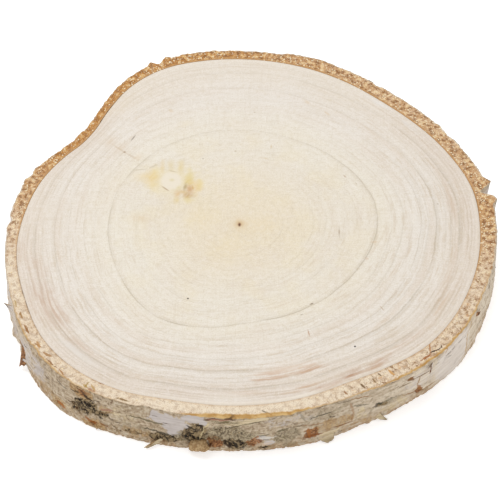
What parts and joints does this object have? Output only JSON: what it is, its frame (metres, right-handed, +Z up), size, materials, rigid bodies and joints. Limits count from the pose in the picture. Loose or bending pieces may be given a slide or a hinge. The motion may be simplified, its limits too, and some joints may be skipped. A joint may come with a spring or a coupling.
{
  "type": "birch wood slice",
  "caption": "Round sawn slice of a birch trunk, a flat wooden disc with its rough bark left on round the edge.",
  "frame": {"origin": "middle of the box round the slice, at its flat underside", "axes": "+Z up through the slice along the trunk it was cut from, +X towards the split in the bark's rim, -Y towards the side with the most loose paper"},
  "size_m": [0.2245, 0.2313, 0.023],
  "materials": {
    "wood": "sawn end grain, pale cream with fine growth rings, matte",
    "bark": "rough papery birch bark, grey and brown with peeling flakes, matte"
  },
  "bodies": {
    "root": {"wood_disc": "wood", "bark_ring": "bark"}
  },
  "joints": []
}
